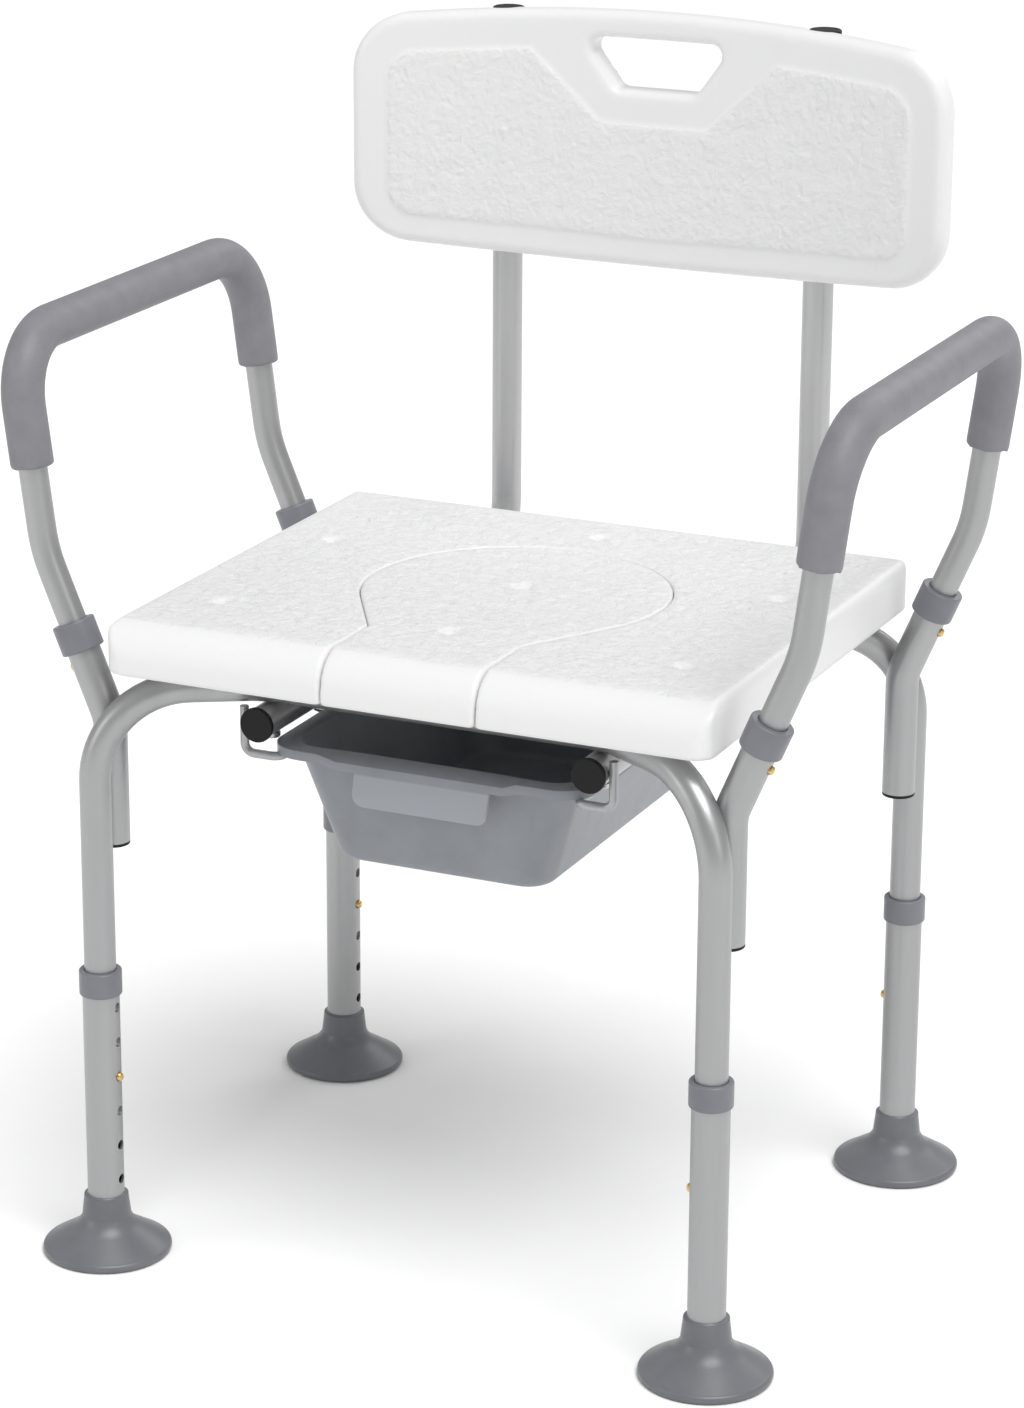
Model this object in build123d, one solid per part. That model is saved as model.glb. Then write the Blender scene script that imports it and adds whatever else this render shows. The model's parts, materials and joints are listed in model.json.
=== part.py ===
from build123d import *
import math
import os

# Shower and commode chair with arms, a backrest, height-adjustable legs and a pull-out pail.
# Millimetres, +Z up, -Y the front. The origin is on the floor, under the middle of the chair.

# Driving dimensions -----------------------------------------------------------------------

# legs and feet
leg_x = 228.8
leg_y = 187.5
frame_tube = 22.2
frame_wall = 1.5
lower_tube = 26.0
slide_gap = 0.05
upper_leg_end_z = 100.0
lower_leg_end_z = 12.0
lower_leg_top_z = 209.0
hole_pitch = 26.0
holes_above = 2
holes_below = 3
leg_button_z = 133.9
button_hole = 7.0
button_radius = 3.2
button_proud = 2.6
spring_strip = 0.7
spring_half_width = 3.2
foot_radius = 45.3
foot_top_z = 44.0
foot_hollow_z = 5.0
foot_rim_z = 6.4
foot_waist_z = 27.0
foot_waist_radius = 17.4
foot_neck_radius = 15.6
foot_cone = (25.5, 17.6)

# plastic collars
collar_diameter = 30.0
leg_collar_low_z = 194.9
leg_collar_top_z = 212.9
collar_gap = 0.35
collar_rounding = 1.2

# cross runs of the two leg frames
cross_z = 417.4
cross_y = 128.0
leg_bend = 66.0
plan_angle = 30.0
plan_bend = 60.0

# side rails that turn up into the backrest posts
rail_x = 122.9
rail_front_y = -148.6
post_y = 257.2
post_bend = 62.0
post_top_z = 819.5
cap_radius = 11.8
post_cap_top_z = 826.0
rail_cap_radius = 12.2
rail_cap_height = 3.2
receiver_cap_height = 2.4
plug_length = 9.0
plug_wall = 1.5

# arm receivers and arms
receiver_tube = 23.4
receiver_low_z = 301.0
receiver_corner_z = 389.6
receiver_bend = 37.0
arm_lean = 22.8
receiver_length = 68.0
arm_collar_from = 50.5
arm_collar_to = 71.5
arm_tube = 20.0
arm_wall = 1.5
arm_insert_from = 22.0
arm_button_at = 41.6
arm_kink_z = 504.0
arm_kink_bend = 109.0
arm_top_x = 296.0
arm_top_z = 648.9
arm_top_bend = 47.4
grip_diameter = 30.0
grip_end_z = 561.9

# seat
seat_half_width = 222.0
seat_front_y = -187.0
seat_back_y = 197.0
seat_top_z = 465.5
seat_low_z = 428.6
seat_wall = 3.0
seat_corner = 14.0
seat_edge = 9.0
seat_front_roll = 26.0
step_inset = 18.0
step_drop = 11.0
opening_y = 5.5
opening_radius = 109.0
ledge_width = 8.0
ledge_z = 447.0
ledge_front_y = -170.0
tongue_half_width = 57.0
tongue_back_y = -112.0
seam = 0.5
dimple_radius = 9.0
dimple_depth = 3.2
dimple_side_x = 173.0
dimple_side_y = (64.0, -105.5)
dimple_middle_y = (153.0, 16.7, -103.0)
boss_radius = 9.0
boss_height = 24.0
insert_radius = 4.5
insert_length = 12.0

# pail and its wires
flange_half_x = 115.5
flange_half_y = 146.0
flange_top_z = 378.0
flange_thickness = 3.6
flange_corner = 14.0
pail_top_x = 106.0
pail_top_y = 137.0
pail_low_x = 79.5
pail_low_y = 124.0
pail_low_z = 297.0
pail_wall = 2.4
pail_top_corner = 24.0
pail_low_corner = 16.0
pail_floor_edge = 7.0
tab_half_width = 50.0
tab_low_z = 347.5
tab_top_z = 374.0
tab_thickness = 3.0
tab_corner = 8.0
tab_gusset = 12.0
wire = 6.2
wire_z = 371.2
wire_y = 140.8
wire_inner_x = 110.4
wire_top_z = 404.5
wire_bend = 7.0

# backrest
back_half_width = 230.6
back_face_y = 241.0
back_curve = 880.0
back_thickness = 22.0
back_top_z = 830.5
back_low_z = 645.0
back_side_top_z = 819.5
back_side_low_z = 652.5
back_corner = 44.0
back_edge = 7.0
back_middle_z = 740.0
back_bolt_heights = (690.0, 785.0)
panel_raise = 1.6
panel_corner = 20.0
notch_corner = 9.0
hole_corner = 8.0
hole_rounding = 6.0

# fasteners
bolt = 6.0
bolt_head = 12.0
bolt_head_height = 2.4
back_bolt = 5.0
back_bolt_head = 9.0
bolt_clearance = 0.2
beyond = 400.0

# Worked-out values ------------------------------------------------------------------------

frame_radius = frame_tube / 2
receiver_y = leg_y - frame_radius - receiver_tube / 2
rail_z = cross_z - frame_tube
wire_outer_x = rail_x + frame_radius + wire / 2
lean_x = math.sin(math.radians(arm_lean))
lean_z = math.cos(math.radians(arm_lean))
arm_kink_x = leg_x + (arm_kink_z - receiver_corner_z) * lean_x / lean_z
back_reach = post_y + frame_radius + bolt_head_height
front_reach = leg_y + foot_radius
middle_y = (front_reach - back_reach) / 2

SIDES = {"left": -1, "right": 1}
ENDS = {"front": -1, "back": 1}
CORNERS = [(end, side) for end in ENDS for side in SIDES]


# Helpers ----------------------------------------------------------------------------------

def tube(points, bends, outer, inner=0.0):
    """A round tube, or a rod if inner is 0, along straight runs joined by tangent bends."""
    path = FilletPolyline(*points, radius=bends) if bends else Line(*points)
    section = Circle(outer / 2)
    if inner:
        section -= Circle(inner / 2)
    return sweep(Plane(path @ 0, z_dir=path % 0) * section, path)


def rod(start, direction, radius, length):
    """A solid cylinder from a point along a direction."""
    return extrude(Plane(start, z_dir=direction) * Circle(radius), length)


def ring_z(outer, inner, low, high):
    """A ring about the Z axis between two heights."""
    section = Circle(outer / 2) - Circle(inner / 2)
    return Pos(0, 0, low) * extrude(section, high - low)


def mirrored(shape, side):
    """The left-hand shape for side -1, its mirror image for side 1."""
    return shape if side < 0 else mirror(shape, about=Plane.YZ)


def ended(shape, end):
    """The front shape for end -1, its mirror image for end 1."""
    return shape if end < 0 else mirror(shape, about=Plane.XZ)


def arm_axis(distance):
    """A point on the left front receiver's leaning axis, this far above its bend."""
    return Vector(-leg_x - distance * lean_x, -receiver_y, receiver_corner_z + distance * lean_z)


def tilted(shape):
    """A shape drawn about Z at the origin, set on the left front receiver's leaning axis."""
    return Pos(-leg_x, -receiver_y, receiver_corner_z) * Rot(0, -arm_lean, 0) * shape


# Leg frames -------------------------------------------------------------------------------

def frame_form(inner=0.0):
    """The front frame's tube: two legs and a cross run bowed towards the middle."""
    run = (leg_y - cross_y) / math.tan(math.radians(plan_angle))
    corners = [
        (-leg_x, -leg_y, upper_leg_end_z),
        (-leg_x, -leg_y, cross_z),
        (run - leg_x, -cross_y, cross_z),
        (leg_x - run, -cross_y, cross_z),
        (leg_x, -leg_y, cross_z),
        (leg_x, -leg_y, upper_leg_end_z),
    ]
    bends = [leg_bend, plan_bend, plan_bend, leg_bend]
    return tube(corners, bends, frame_tube, inner)


def leg_frame():
    """The front frame with its button holes and bolt holes."""
    frame = frame_form(frame_tube - 2 * frame_wall)
    for side in SIDES.values():
        start = (side * (leg_x - frame_tube), -leg_y, leg_button_z)
        frame -= rod(start, (side, 0, 0), button_hole / 2, frame_tube)
        frame -= rod((side * rail_x, -cross_y, cross_z - 20), (0, 0, 1), bolt / 2 + bolt_clearance, 40)
    return frame


def lower_leg():
    """The outer tube of the left front leg, with a row of holes on its inward side."""
    bore = frame_tube + 2 * slide_gap
    leg = ring_z(lower_tube, bore, lower_leg_end_z, lower_leg_top_z)
    for place in range(-holes_below, holes_above + 1):
        height = leg_button_z + place * hole_pitch
        leg -= rod((0, 0, height), (1, 0, 0), button_hole / 2, lower_tube)
    return Pos(-leg_x, -leg_y, 0) * leg


def leg_collar():
    """The plastic ring that covers the top of the left front lower leg."""
    ring = ring_z(collar_diameter, lower_tube, leg_collar_low_z, lower_leg_top_z)
    ring += ring_z(collar_diameter, frame_tube + 2 * collar_gap, lower_leg_top_z, leg_collar_top_z)
    rims = ring.edges().filter_by(GeomType.CIRCLE)
    rims = [edge for edge in rims if edge.radius > lower_tube / 2 + 1]
    outer = [edge for edge in rims if edge.center().Z != lower_leg_top_z]
    ring = fillet(outer, collar_rounding)
    return Pos(-leg_x, -leg_y, 0) * ring


def foot():
    """The flared rubber foot of the left front leg, with a socket for the tube."""
    socket = lower_tube / 2
    with BuildSketch(Plane.XZ) as section:
        with BuildLine():
            dome = ThreePointArc((0, foot_hollow_z), (20, 3.8), (foot_radius - 8, 0))
            base = Line(dome @ 1, (foot_radius - 2.5, 0))
            rim = SagittaArc(base @ 1, (foot_radius - 2.0, foot_rim_z), -2.6)
            cone = Line(rim @ 1, foot_cone)
            waist = TangentArc(cone @ 1, (foot_waist_radius, foot_waist_z), tangent=cone % 1)
            neck = Line(waist @ 1, (foot_neck_radius, foot_top_z - 1.4))
            lip = SagittaArc(neck @ 1, (socket, foot_top_z), 0.5)
            Polyline(lip @ 1, (socket, lower_leg_end_z), (0, lower_leg_end_z), (0, foot_hollow_z))
        make_face()
    return Pos(-leg_x, -leg_y, 0) * revolve(section.sketch, Axis.Z)


def spring_reach(bore):
    """How far from a tube's axis the flat strip of its spring can lie."""
    return math.sqrt((bore / 2) ** 2 - spring_half_width**2) - 0.02


def snap_button(bore, outer):
    """A domed brass button along X, from the spring in a tube's bore to outside the outer tube."""
    start = spring_reach(bore)
    shank = rod((start, 0, 0), (1, 0, 0), button_radius, outer / 2 + button_proud - start)
    tip = shank.faces().sort_by(Axis.X)[-1]
    return fillet(tip.edges(), 2.2)


def snap_spring(bore):
    """A V-shaped steel strip whose two arms press on opposite walls of a tube's bore."""
    half_gap = spring_reach(bore)
    inner = half_gap - spring_strip
    outside = [(half_gap, 7), (half_gap, -6), (2.4, -30)]
    inside = [(1.6, -29), (inner, -5.8), (inner, 7)]
    half = outside + [(0, -30), (0, -29)] + inside
    strip = make_face(Polyline(*half, close=True))
    strip += mirror(strip, about=Plane.YZ)
    return standing(strip, spring_half_width)


# Side rails and backrest posts --------------------------------------------------------------

def rail_post():
    """The left side rail, which turns up behind the seat to carry the backrest."""
    corners = [
        (-rail_x, rail_front_y, rail_z),
        (-rail_x, post_y, rail_z),
        (-rail_x, post_y, post_top_z),
    ]
    rail = tube(corners, [post_bend], frame_tube, frame_tube - 2 * frame_wall)
    for end in ENDS.values():
        rail -= rod((-rail_x, end * cross_y, rail_z - 20), (0, 0, 1), bolt / 2 + bolt_clearance, 40)
    for height in back_bolt_heights:
        rail -= rod((-rail_x, post_y - 20, height), (0, 1, 0), back_bolt / 2 + bolt_clearance, 40)
    return rail


def end_plug(radius, bore, height, rounding):
    """A plastic end cap about Z: its head stands on z = 0 and its plug hangs in the tube."""
    head = extrude(Circle(radius), height)
    head = fillet(head.faces().sort_by(Axis.Z)[-1].edges(), rounding)
    plug = extrude(Circle(bore / 2) - Circle(bore / 2 - plug_wall), plug_length)
    return head + Pos(0, 0, -plug_length) * plug


def rail_caps():
    """The black caps in the front ends of both side rails."""
    cap = end_plug(rail_cap_radius, frame_tube - 2 * frame_wall, rail_cap_height, 1.0)
    place = Plane((-rail_x, rail_front_y, rail_z), z_dir=(0, -1, 0))
    return Compound([mirrored(place * cap, side) for side in SIDES.values()])


def post_caps():
    """The black caps on top of both backrest posts."""
    cap = end_plug(cap_radius, frame_tube - 2 * frame_wall, post_cap_top_z - post_top_z, 1.6)
    cap = Pos(-rail_x, post_y, post_top_z) * cap
    return Compound([mirrored(cap, side) for side in SIDES.values()])


# Arms ---------------------------------------------------------------------------------------

def arm_receiver():
    """The left front socket tube, welded along the leg and leaning outwards above its bend."""
    corners = [
        (-leg_x, -receiver_y, receiver_low_z),
        (-leg_x, -receiver_y, receiver_corner_z),
        tuple(arm_axis(receiver_length)),
    ]
    bore = arm_tube + 2 * slide_gap
    socket = tube(corners, [receiver_bend], receiver_tube, bore)
    hole = rod(arm_axis(arm_button_at), (-lean_z, 0, -lean_x), button_hole / 2, receiver_tube)
    return socket - hole - frame_form()


def receiver_caps():
    """The thin black caps under the four receivers."""
    cap = end_plug(receiver_tube / 2, arm_tube + 2 * slide_gap, receiver_cap_height, 0.8)
    cap = Plane((-leg_x, -receiver_y, receiver_low_z), z_dir=(0, 0, -1)) * cap
    return Compound([ended(mirrored(cap, SIDES[side]), ENDS[end]) for end, side in CORNERS])


def arm_collars():
    """The plastic rings over the tops of the four receivers."""
    ring = ring_z(collar_diameter, receiver_tube, arm_collar_from, receiver_length)
    ring += ring_z(collar_diameter, arm_tube + 2 * collar_gap, receiver_length, arm_collar_to)
    rims = ring.edges().filter_by(GeomType.CIRCLE)
    rims = [edge for edge in rims if edge.radius > receiver_tube / 2 + 2]
    outer = [edge for edge in rims if edge.center().Z != receiver_length]
    ring = tilted(fillet(outer, collar_rounding))
    return Compound([ended(mirrored(ring, SIDES[side]), ENDS[end]) for end, side in CORNERS])


def arm_corners():
    """The corners of the left arm's route, from its front foot to its back foot."""
    foot_end = tuple(arm_axis(arm_insert_from))
    front = [foot_end, (-arm_kink_x, -receiver_y, arm_kink_z), (-arm_top_x, -receiver_y, arm_top_z)]
    return front + [(x, -y, z) for x, y, z in reversed(front)]


def left_arm():
    """The left armrest tube, an upside-down U with outward-leaning feet."""
    bends = [arm_kink_bend, arm_top_bend, arm_top_bend, arm_kink_bend]
    arm = tube(arm_corners(), bends, arm_tube, arm_tube - 2 * arm_wall)
    hole = rod(arm_axis(arm_button_at), (-lean_z, 0, -lean_x), button_hole / 2, arm_tube)
    return arm - hole - ended(hole, 1)


def left_grip():
    """The soft grey sleeve over the top of the left arm."""
    corners = arm_corners()[1:-1]
    low, high = Vector(*corners[0]), Vector(*corners[1])
    start = low + (high - low) * ((grip_end_z - low.Z) / (high.Z - low.Z))
    corners[0] = tuple(start)
    corners[-1] = (start.X, -start.Y, start.Z)
    return tube(corners, [arm_top_bend, arm_top_bend], grip_diameter, arm_tube)


# Seat ---------------------------------------------------------------------------------------

def seat_outline(inset):
    """The seat's outline in plan, drawn in by an inset."""
    width = 2 * (seat_half_width - inset)
    depth = seat_back_y - seat_front_y - 2 * inset
    middle = (seat_back_y + seat_front_y) / 2
    return Pos(0, middle) * RectangleRounded(width, depth, max(seat_corner - inset, 4))


def seat_block(inset):
    """The seat's outer form drawn in by an inset: soft edges and a rolled front."""
    block = Pos(0, 0, seat_low_z + inset) * extrude(seat_outline(inset), seat_top_z - seat_low_z - 2 * inset)
    with BuildSketch(Plane.YZ) as profile:
        with BuildLine():
            front, back = seat_front_y + inset, seat_back_y - inset
            low, top = seat_low_z + inset, seat_top_z - inset
            roll, edge = seat_front_roll - inset, seat_edge - inset
            FilletPolyline((front, low), (front, top), (back, top), (back, low), radius=[roll, edge])
            Line((back, low), (front, low))
        make_face()
    block &= extrude(profile.sketch, seat_half_width, both=True)
    with BuildSketch(Plane.XZ) as profile:
        with BuildLine():
            side = seat_half_width - inset
            FilletPolyline((-side, low), (-side, top), (side, top), (side, low), radius=edge)
            Line((side, low), (-side, low))
        make_face()
    return block & extrude(profile.sketch, 300, both=True)


def keyhole(grow):
    """The keyhole opening's outline: a circle that narrows to a tongue at the front edge."""
    radius = opening_radius + grow
    half = tongue_half_width + grow
    reach = math.hypot(half, opening_y - tongue_back_y)
    lean = math.atan2(half, opening_y - tongue_back_y) + math.acos(radius / reach)
    touch = (radius * math.sin(lean), opening_y - radius * math.cos(lean))
    neck = [(-touch[0], touch[1]), touch, (half, tongue_back_y), (-half, tongue_back_y)]
    front = seat_front_y - 20
    shape = Pos(0, opening_y) * Circle(radius)
    shape += make_face(Polyline(*neck, close=True))
    return shape + Pos(0, (front + tongue_back_y) / 2) * Rectangle(2 * half, tongue_back_y - front)


def tongue_front(grow):
    """The front end of the tongue, where it goes through the whole front wall."""
    depth = ledge_front_y - seat_front_y + 20
    return Pos(0, ledge_front_y - depth / 2) * Rectangle(2 * (tongue_half_width + grow), depth)


def opening_cut():
    """The hole through the seat: the keyhole above the ledge, and a smaller one under it."""
    upper = Pos(0, 0, ledge_z) * extrude(keyhole(0), 60)
    lower = keyhole(-ledge_width) + tongue_front(0)
    return upper + Pos(0, 0, seat_low_z - 30) * extrude(lower, 100)


def seat_dimples():
    """The shallow drain dimples in the top of the seat."""
    ball = (dimple_radius**2 + dimple_depth**2) / (2 * dimple_depth)
    places = [(x, y) for x in (-dimple_side_x, dimple_side_x) for y in dimple_side_y]
    places += [(0, y) for y in dimple_middle_y]
    level = seat_top_z - dimple_depth + ball
    return [Pos(x, y, level) * Sphere(ball) for x, y in places]


def tube_channels():
    """The room that the cross runs need in the step under the seat."""
    run = (leg_y - cross_y) / math.tan(math.radians(plan_angle))
    out_x = leg_x + 40
    out_y = leg_y + 40 * math.tan(math.radians(plan_angle))
    corners = [(-out_x, -out_y), (run - leg_x, -cross_y), (leg_x - run, -cross_y), (out_x, -out_y)]
    corners = [(x, y, cross_z) for x, y in corners]
    channel = tube(corners, [plan_bend, plan_bend], frame_tube + 1.0)
    return channel + ended(channel, 1)


def seat_step():
    """The stepped-in pad under the seat, with channels where it straddles the cross runs."""
    pad = extrude(seat_outline(step_inset), step_drop)
    pad = Pos(0, 0, seat_low_z - step_drop) * pad
    return pad - tube_channels()


def seat_panel():
    """The hollow moulded seat with its keyhole opening and its ledge."""
    hollow = seat_block(seat_wall)
    wall_round_opening = extrude(keyhole(seat_wall), 100)
    hollow -= Pos(0, 0, seat_low_z - 30) * wall_round_opening
    for x in (-rail_x, rail_x):
        for y in (-cross_y, cross_y):
            hollow -= Pos(x, y, seat_low_z) * extrude(Circle(boss_radius), boss_height)
    for dimple in seat_dimples():
        hollow -= Pos(0, 0, -seat_wall) * dimple
    seat = seat_block(0) - hollow + seat_step()
    seat -= opening_cut()
    for dimple in seat_dimples():
        seat -= dimple
    for x in (-rail_x, rail_x):
        for y in (-cross_y, cross_y):
            pocket = extrude(Circle(insert_radius), insert_length + step_drop)
            seat -= Pos(x, y, seat_low_z - step_drop) * pocket
    return seat


def seat_insert():
    """The lift-out keyhole insert that fills the seat's opening."""
    plate = Pos(0, 0, ledge_z + 0.3) * extrude(keyhole(-seam), 60)
    plug = keyhole(-ledge_width - seam) + tongue_front(-seam)
    insert = (plate + Pos(0, 0, seat_low_z) * extrude(plug, 60)) & seat_block(0)
    core = Pos(0, 0, seat_low_z - 20) * extrude(keyhole(-ledge_width - seam - seat_wall), 100)
    core &= seat_block(seat_wall)
    for dimple in seat_dimples():
        core -= Pos(0, 0, -seat_wall) * dimple
    insert -= core
    for dimple in seat_dimples():
        insert -= dimple
    return insert


def seat_bolts():
    """The four long bolts that clamp rail, cross run and seat together from below."""
    low = rail_z - frame_radius
    bolts = []
    for x in (-rail_x, rail_x):
        for y in (-cross_y, cross_y):
            head = Pos(x, y, low - 3.6) * extrude(Circle(bolt_head / 2), 3.6)
            head = fillet(head.faces().sort_by(Axis.Z)[0].edges(), 1.6)
            bolts.append(head + Pos(x, y, low) * extrude(Circle(bolt / 2), seat_low_z + 10 - low))
    return Compound(bolts)


def seat_inserts():
    """The threaded brass inserts moulded into the seat for its bolts."""
    ring = Circle(insert_radius) - Circle(bolt / 2)
    sleeves = []
    for x in (-rail_x, rail_x):
        for y in (-cross_y, cross_y):
            sleeves.append(Pos(x, y, seat_low_z) * extrude(ring, insert_length))
    return Compound(sleeves)


# Pail ---------------------------------------------------------------------------------------

def pail_form(inset, low_z):
    """The pail's tapered body, drawn in by an inset, from its floor to its rim."""
    top = RectangleRounded(2 * (pail_top_x - inset), 2 * (pail_top_y - inset), pail_top_corner - inset)
    low = RectangleRounded(2 * (pail_low_x - inset), 2 * (pail_low_y - inset), pail_low_corner - inset)
    return loft([Pos(0, 0, low_z) * low, Pos(0, 0, flange_top_z) * top])


def pull_tab():
    """The finger tab that hangs from the dip in the middle of the pail's front rim."""
    front = -flange_half_y
    with BuildSketch(Plane.XZ) as face:
        with BuildLine():
            side, low, top = tab_half_width, tab_low_z, tab_top_z
            FilletPolyline((-side, top), (-side, low), (side, low), (side, top), radius=tab_corner)
            Line((side, top), (-side, top))
        make_face()
    plate = Pos(0, front, 0) * extrude(face.sketch, -tab_thickness)
    level = tab_top_z + 0.2 - tab_thickness / 2
    gusset = Pos(0, front + tab_gusset / 2, level) * Box(2 * side, tab_gusset, tab_thickness)
    return plate + gusset


def pail():
    """The lift-and-slide pail: a tapered tub with a flange that rides on the wires."""
    flange = RectangleRounded(2 * flange_half_x, 2 * flange_half_y, flange_corner)
    tub = Pos(0, 0, flange_top_z - flange_thickness) * extrude(flange, flange_thickness)
    tub += pail_form(0, pail_low_z)
    floor_edges = tub.faces().sort_by(Axis.Z)[0].edges()
    tub = fillet(floor_edges, pail_floor_edge)
    inner = pail_form(pail_wall, pail_low_z + pail_wall)
    inner = fillet(inner.faces().sort_by(Axis.Z)[0].edges(), pail_floor_edge - pail_wall)
    return tub - inner + pull_tab()


def pail_wire():
    """The left wire rail: hooked up on the rail at both ends, and run under the flange."""
    front = [
        (-wire_outer_x, -wire_y, wire_top_z),
        (-wire_outer_x, -wire_y, wire_z),
        (-wire_inner_x, -wire_y, wire_z),
    ]
    return tube(front + [(x, -y, z) for x, y, z in reversed(front)], [wire_bend] * 4, wire)


# Backrest -----------------------------------------------------------------------------------

def back_outline():
    """The backrest's outline seen from the front, with arched long edges and round corners."""
    side = back_half_width
    with BuildSketch() as outline:
        with BuildLine():
            top = ThreePointArc((-side, back_side_top_z - 3), (0, back_top_z), (side, back_side_top_z - 3))
            low = ThreePointArc((side, back_side_low_z + 2), (0, back_low_z), (-side, back_side_low_z + 2))
            Line(top @ 1, low @ 0)
            Line(low @ 1, top @ 0)
        make_face()
        fillet(outline.vertices(), back_corner)
    return outline.sketch


def hand_hole():
    """The trapezoid hand-hole near the top of the backrest."""
    corners = [(-58, 811), (58, 811), (31, 774), (-31, 774)]
    hole = make_face(Polyline(*corners, close=True))
    return fillet(hole.vertices(), hole_corner)


def panel_outline():
    """The raised front panel's outline, notched round the hand-hole."""
    right = [(0, 749), (42, 749), (96, 800), (201, 792), (201, 674), (0, 667)]
    left = [(-x, z) for x, z in reversed(right[1:-1])]
    panel = make_face(Polyline(*right, *left, close=True))
    corners = panel.vertices().filter_by(lambda v: abs(v.X) > 150)
    panel = fillet(corners, panel_corner)
    notch = panel.vertices().filter_by(lambda v: 10 < abs(v.X) < 150 and v.Y > 740)
    return fillet(notch, notch_corner)


def standing(sketch, depth):
    """A sketch drawn with Y as height, stood up facing the front and given a depth about y = 0."""
    return extrude(Plane.XZ * sketch, depth, both=True)


def curved_slab(front_inset, back_inset):
    """The upright slab, curved in plan, between the backrest's front and back faces."""
    middle = back_face_y - back_curve
    outer = Cylinder(back_curve + back_thickness - back_inset, beyond)
    inner = Cylinder(back_curve + front_inset, beyond)
    ring = Pos(0, middle, back_middle_z) * (outer - inner)
    return ring & Pos(0, back_face_y, back_middle_z) * Box(600, 120, beyond)


def hole_edges(plate):
    """The front edges of the hand-hole."""
    def in_front(edge):
        middle = edge.center()
        face_y = back_face_y - back_curve + math.sqrt(back_curve**2 - middle.X**2)
        return abs(middle.X) < 60 and 770 < middle.Z < 815 and abs(middle.Y - face_y) < 1
    return plate.edges().filter_by(in_front)


def back_hollow():
    """The closed hollow inside the moulded backrest, clear of its posts, bolts and hand-hole."""
    inside = standing(offset(back_outline(), -2 * seat_wall), beyond)
    inside &= curved_slab(seat_wall, seat_wall)
    inside -= standing(offset(hand_hole(), hole_rounding + seat_wall), beyond)
    for side in SIDES.values():
        inside -= Pos(side * rail_x, post_y, back_middle_z) * Cylinder(cap_radius + 1 + seat_wall, beyond)
        for height in back_bolt_heights:
            inside -= rod((side * rail_x, post_y, height), (0, -1, 0), 7, 60)
    return inside


def backrest():
    """The curved moulded backrest with its hand-hole, raised front panel and post channels."""
    plate = standing(back_outline(), beyond) & curved_slab(0, 0)
    rim = plate.edges().filter_by(lambda e: e.length > 12)
    plate = fillet(rim, back_edge)
    plate -= standing(hand_hole(), beyond)
    plate = fillet(hole_edges(plate), hole_rounding)
    plate += standing(panel_outline(), beyond) & curved_slab(-panel_raise, back_thickness - 2)
    plate -= back_hollow()
    for side in SIDES.values():
        plate -= Pos(side * rail_x, post_y, back_middle_z) * Cylinder(frame_radius + 0.1, beyond)
        plate -= Pos(side * rail_x, post_y, post_top_z + 20) * Cylinder(cap_radius + 0.3, 40)
        for height in back_bolt_heights:
            plate -= rod((side * rail_x, post_y, height), (0, -1, 0), back_bolt / 2, frame_radius + 7.5)
    return plate


def back_bolts():
    """The four bolts that hold the backrest to its posts, put in from behind."""
    behind = post_y + frame_radius
    bolts = []
    for side in SIDES.values():
        for height in back_bolt_heights:
            start = (side * rail_x, behind - 1.2, height)
            head = rod(start, (0, 1, 0), back_bolt_head / 2, 1.2 + bolt_head_height)
            head = fillet(head.faces().sort_by(Axis.Y)[-1].edges(), 1.2)
            head -= Pos(side * rail_x, post_y, height) * Cylinder(frame_radius, 30)
            shank_start = (side * rail_x, behind + 0.5, height)
            shank = rod(shank_start, (0, -1, 0), back_bolt / 2, 2 * frame_radius + 7)
            bolts.append(head + shank)
    return Compound(bolts)


# Writing ------------------------------------------------------------------------------------

def corner_nodes():
    """The nodes that repeat at each of the four corners."""
    leg, collar, rubber = lower_leg(), leg_collar(), foot()
    leg_bore = frame_tube - 2 * frame_wall
    place = Pos(-leg_x, -leg_y, leg_button_z)
    leg_snap = place * snap_button(leg_bore, lower_tube)
    leg_spring = place * snap_spring(leg_bore)
    socket = arm_receiver()
    arm_bore = arm_tube - 2 * arm_wall
    outwards = Pos(0, 0, arm_button_at) * Rot(0, 180, 0)
    arm_snap = tilted(outwards * snap_button(arm_bore, receiver_tube))
    arm_spring = tilted(outwards * snap_spring(arm_bore))
    nodes = {
        "lower_leg": leg,
        "leg_collar": collar,
        "foot": rubber,
        "leg_button": leg_snap,
        "leg_spring": leg_spring,
        "arm_receiver": socket,
        "arm_button": arm_snap,
        "arm_spring": arm_spring,
    }
    return {
        f"{name}_{end}_{side}": ended(mirrored(shape, SIDES[side]), ENDS[end])
        for name, shape in nodes.items()
        for end, side in CORNERS
    }


def side_nodes():
    """The nodes that have a left and a right copy."""
    nodes = {
        "rail_post": rail_post(),
        "pail_wire": pail_wire(),
        "arm_tube": left_arm(),
        "grip": left_grip(),
    }
    return {
        f"{name}_{side}": mirrored(shape, SIDES[side])
        for name, shape in nodes.items()
        for side in SIDES
    }


def single_nodes():
    """The nodes that occur once, and the groups of small fittings."""
    frame = leg_frame()
    return {
        "front_frame": frame,
        "back_frame": ended(frame, 1),
        "rail_caps": rail_caps(),
        "post_caps": post_caps(),
        "receiver_caps": receiver_caps(),
        "arm_collars": arm_collars(),
        "seat_panel": seat_panel(),
        "seat_insert": seat_insert(),
        "seat_bolts": seat_bolts(),
        "seat_inserts": seat_inserts(),
        "pail": pail(),
        "backrest": backrest(),
        "back_bolts": back_bolts(),
    }


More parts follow.
